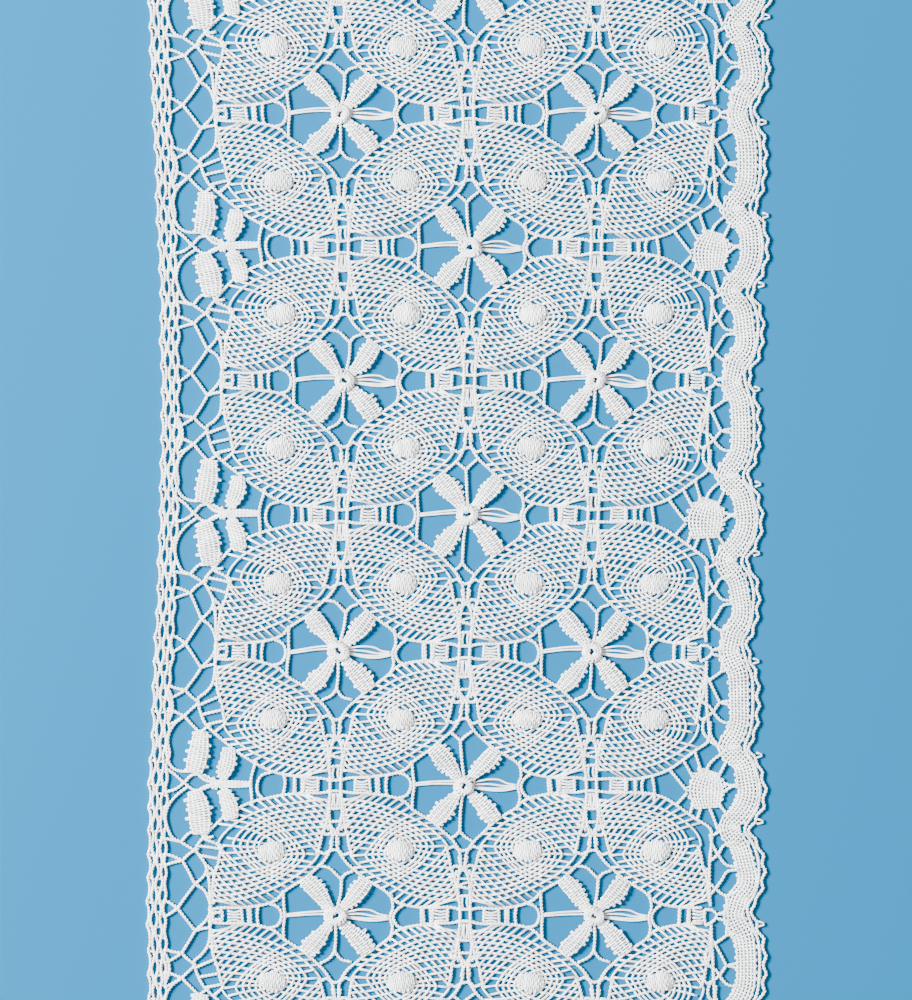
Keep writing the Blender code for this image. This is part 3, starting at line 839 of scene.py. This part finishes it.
# %% [markdown]
# Two edge pairs run outside the trail, the outer one in a fine zigzag. Beside the dips
# between scallops it carries picots, tiny loops of one thread.

# %% Edge pairs and picots of the headside
SCALLOPS = [(297, 38), (305, 24), (308, 14), (311, -4), (308.5, -22), (303, -33),
            (296.5, -47), (304, -60), (308.5, -78), (307, -100), (303, -113), (296, -126),
            (301, -147), (306, -162), (307, -190), (304, -212)]
PICOTS = [(307.5, 31), (306.5, -37), (304.5, -142)]
edge = [(x, y + base) for base in rows_up[::-1] for x, y in SCALLOPS]
outer = smooth(edge, 4.5)
zigzag = np.array([(-3.2, -1.9, 0.0, -1.9)[i % 4] for i in range(len(outer))])
add_pair("headside_pairs", np.column_stack([outer[:, 0] + zigzag, outer[:, 1]]))
add_pair("headside_pairs", [(x - 6.6, y + 1) for x, y in edge], start=1.5)
for base in rows_up:
    for x, y in PICOTS:
        add_thread("rungs", [(x - 5, y + base + 2.5), (x, y + base + 1.5), (x + 1, y + base),
                             (x, y + base - 1.5), (x - 5, y + base - 2.5)])
print("places for picots:", len(PICOTS) * len(rows_up))

# %% [markdown]
# ## Flower knots
# The knot in the middle of each flower is its threads wound into a ring. One thread wound
# round a ring makes it, in fifteen turns with a small hole left in the middle, and two loops
# of thread lie on top.

# %% Winding the knots
KNOT_RADIUS, KNOT_BULK, KNOT_TURNS, KNOT_LEVEL = 6.6, 3.3, 15, 5.0
LOOP_LEVEL = 7.4


def wound_ring(x, y, radius, thick, turns, level, lean):
    """A thread wound round a ring that no hand makes quite round."""
    angle = np.linspace(0, 2 * math.pi, turns * 8 + 1)
    swing = angle * turns
    ring = radius * (1 + 0.14 * np.sin(2 * angle + lean) + 0.07 * np.sin(3 * angle - lean))
    bulk = thick * (1 + 0.18 * np.sin(angle * 2.0 - lean * 2))
    out = ring + bulk * np.cos(swing)
    skew = angle + 0.22 * np.sin(swing)
    return np.column_stack([x + out * np.cos(skew), y + out * np.sin(skew),
                            level + bulk * 0.75 * np.sin(swing)])


def coil(x, y, level, lean):
    """A loop of thread that lies round the hole on top of the knot."""
    angle = np.linspace(lean, lean + 2 * math.pi * 2.6, 60)
    share = np.linspace(0, 1, 60)
    out = 3.9 + 5.2 * share + 0.9 * np.sin(angle * 1.3 + lean)
    return np.column_stack([x + out * np.cos(angle), y + out * np.sin(angle) * 0.92,
                            level - 1.3 * share ** 2 + 0.5 * np.sin(angle * 1.7)])


for number, (x, y) in enumerate(windows()):
    if abs(y) < HALF_LENGTH - 20:
        lean = number * 1.7
        knot = wound_ring(x, y, KNOT_RADIUS, KNOT_BULK, KNOT_TURNS, KNOT_LEVEL, lean)
        for run in (knot, coil(x, y, LOOP_LEVEL, lean),
                    coil(x + 0.6, y - 0.4, LOOP_LEVEL - 0.4, lean + 2.4)):
            single.setdefault("flower_knots", []).append(lay(run))
print("flower knots in the strip:", len(single["flower_knots"]) // 3)

# %% [markdown]
# ## The cut ends
# The strip is a cut length, so its ends are overcast: a thread goes round and round a few
# crosswise threads and keeps the cut ones from running.

# %% Overcast ends
CROSSWISE = (2.2, 4.6, 7.0)   # how far inside the end the crosswise threads lie
END_X = 301                   # where they stop, near the headside's edge
STITCHES = 200

for end in (1, -1):
    for row in CROSSWISE:
        y = end * (HALF_LENGTH - row)
        stops = np.arange(FOOT_X + 2, END_X, 6.0)
        run = np.column_stack([stops, np.full(len(stops), y), np.full(len(stops), MID)])
        single.setdefault("overcast_ends", []).append(lay(run))
    angle = np.linspace(0, 2 * math.pi * STITCHES, STITCHES * 6 + 1)
    across = np.linspace(FOOT_X + 1, END_X, len(angle))
    run = np.column_stack([across, end * (HALF_LENGTH - CROSSWISE[1] + 3.4 * np.cos(angle)),
                           MID + 0.1 + 1.0 * np.sin(angle)])
    single.setdefault("overcast_ends", []).append(lay(run))
print("overcast stitches at each end:", STITCHES)

# %% [markdown]
# ## Cotton
# White cotton thread is matt. It scatters light in its fibres, with a faint sheen at
# grazing angles. Two noises give it life: a slow one shifts the white a little from thread
# to thread, and a fine one roughens the surface as loose fibres do.

# %% The thread's material
def cotton():
    """White cotton with a slow drift in its white and fine fibres in its surface."""
    material = bpy.data.materials.new("white_cotton_thread")
    material.use_nodes = True
    nodes, links = material.node_tree.nodes, material.node_tree.links
    shader = nodes["Principled BSDF"]
    shader.inputs["Roughness"].default_value = 0.82
    shader.inputs["Sheen Weight"].default_value = 0.25
    shader.inputs["Sheen Roughness"].default_value = 0.5
    place = nodes.new("ShaderNodeTexCoord")
    drift = nodes.new("ShaderNodeTexNoise")
    drift.inputs["Scale"].default_value = 420
    drift.inputs["Detail"].default_value = 3
    tint = nodes.new("ShaderNodeValToRGB")
    tint.color_ramp.elements[0].position = 0.35
    tint.color_ramp.elements[0].color = (0.66, 0.67, 0.68, 1)
    tint.color_ramp.elements[1].position = 0.65
    tint.color_ramp.elements[1].color = (0.90, 0.91, 0.905, 1)
    fibre = nodes.new("ShaderNodeTexNoise")
    fibre.inputs["Scale"].default_value = 5200
    fibre.inputs["Detail"].default_value = 2
    bump = nodes.new("ShaderNodeBump")
    bump.inputs["Strength"].default_value = 0.35
    bump.inputs["Distance"].default_value = 0.00006
    links.new(place.outputs["Object"], drift.inputs["Vector"])
    links.new(place.outputs["Object"], fibre.inputs["Vector"])
    links.new(drift.outputs["Fac"], tint.inputs["Fac"])
    links.new(tint.outputs["Color"], shader.inputs["Base Color"])
    links.new(fibre.outputs["Fac"], bump.inputs["Height"])
    links.new(bump.outputs["Normal"], shader.inputs["Normal"])
    return material


COTTON = cotton()
print("material:", COTTON.name, "with", len(COTTON.node_tree.nodes), "nodes")

# %% [markdown]
# ## From routes to tubes
# All routes of a piece become splines of one curve, whose round bevel gives the thread its
# thickness. The curve is then converted to a mesh, and each tube's caps are merged to it.

# %% Making the pieces
THICKER = {"half_stitch_leaves": 1.1}   # fewer threads than a real leaf, so a bit thicker
MERGE = 0.0000005             # points closer than this, in metres, become one


def metres(runs):
    """The length of thread in some runs."""
    return sum(float(np.linalg.norm(np.diff(run, axis=0), axis=1).sum()) for run in runs)


def thread_piece(name, runs):
    """One piece of the lace from its runs of thread."""
    curve = bpy.data.curves.new(name, "CURVE")
    curve.dimensions = "3D"
    curve.bevel_depth = THICKER.get(name, THREAD) * STEP
    curve.bevel_resolution = 0
    curve.use_fill_caps = True
    for run in runs:
        spline = curve.splines.new("POLY")
        spline.points.add(len(run) - 1)
        spline.points.foreach_set("co", np.column_stack([run, np.ones(len(run))]).ravel())
    piece = bpy.data.objects.new(name, curve)
    bpy.context.scene.collection.objects.link(piece)
    bpy.ops.object.select_all(action="DESELECT")
    piece.select_set(True)
    bpy.context.view_layer.objects.active = piece
    bpy.ops.object.convert(target="MESH")
    bpy.ops.object.mode_set(mode="EDIT")
    bpy.ops.mesh.select_all(action="SELECT")
    bpy.ops.mesh.remove_doubles(threshold=MERGE)
    bpy.ops.object.mode_set(mode="OBJECT")
    bpy.ops.object.shade_smooth()
    piece.data.materials.clear()
    piece.data.materials.append(COTTON)
    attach(piece, "root")
    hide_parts("lace")
    faces = sum(len(polygon.vertices) - 2 for polygon in piece.data.polygons)
    print(f"{name}: {len(runs)} threads, {metres(runs):.1f} m, {faces} triangles")
    return piece


print("tubes are", round(2 * THREAD * STEP * 1000, 2), "mm thick, and in the leaves",
      round(2 * THICKER["half_stitch_leaves"] * STEP * 1000, 2), "mm")

# %% [markdown]
# Each kind of thread work becomes one piece, so that a learner can hide all but one and see
# how it lies. Together they are one sheet of lace, laid flat.

# %% The lace's pieces
made = {}
for name, runs in single.items():
    made[name] = thread_piece(name, runs)
for name, runs in paired.items():
    made[name] = thread_piece(name, runs)
total = metres([run for runs in (*single.values(), *paired.values()) for run in runs])
print(f"thread in all: {total:.1f} m")
net = made.pop("half_stitch_leaves")

# %% [markdown]
# ## Floor
# White lace is best shown flat on a plain coloured ground, where every thread can be read.
# The floor is plain blue card with hardly any shine, lit until it looks pale.

# %% Floor
bpy.ops.object.select_all(action="DESELECT")
bpy.ops.mesh.primitive_plane_add(size=6, location=(0, 0, 0))
floor = bpy.context.object
floor.name = "floor"
paint = bpy.data.materials.new("pale_blue_card")
paint.use_nodes = True
card = paint.node_tree.nodes["Principled BSDF"]
card.inputs["Base Color"].default_value = (0.001, 0.1, 0.22, 1)
card.inputs["Roughness"].default_value = 0.95
card.inputs["Specular IOR Level"].default_value = 0.12
floor.data.materials.append(paint)
print("floor:", paint.name)

# %% [markdown]
# ## Light
# A soft light from the left gives each thread a small soft shadow on its right. A weak one
# from the right and an even pale sky keep those shadows from going black.

# %% Light
def area_light(name, place, size, power, target=(0, 0, 0)):
    """A square soft light that looks at a target."""
    lamp = bpy.data.lights.new(name, "AREA")
    lamp.size = size
    lamp.energy = power
    thing = bpy.data.objects.new(name, lamp)
    thing.location = place
    bpy.context.scene.collection.objects.link(thing)
    way = Vector(target) - Vector(place)
    thing.rotation_euler = way.to_track_quat("-Z", "Y").to_euler()
    return thing


area_light("key_light", (-1.0, 0.3, 0.75), 0.35, 125)
area_light("fill_light", (0.5, -0.6, 1.4), 1.5, 12)
world = bpy.data.worlds.new("soft_room")
bpy.context.scene.world = world
world.use_nodes = True
world.node_tree.nodes["Background"].inputs["Color"].default_value = (0.95, 0.97, 1, 1)
world.node_tree.nodes["Background"].inputs["Strength"].default_value = 0.65

# %% [markdown]
# ## Camera
# The camera looks straight down from more than a metre, with a long lens. So the strip shows
# as flat as on a scanner, without the stretch that a near camera gives.

# %% Camera, straight above, framing 182.4 by 200 mm
LENS, SENSOR, FRAME_HEIGHT = 200, 36, 0.2
camera_data = bpy.data.cameras.new("camera")
camera_data.lens = LENS
camera_data.sensor_width = SENSOR
camera = bpy.data.objects.new("camera", camera_data)
camera.location = (-0.00067, 0, FRAME_HEIGHT * LENS / SENSOR)
bpy.context.scene.collection.objects.link(camera)
bpy.context.scene.camera = camera
print("camera height:", round(camera.location.z, 3), "m")
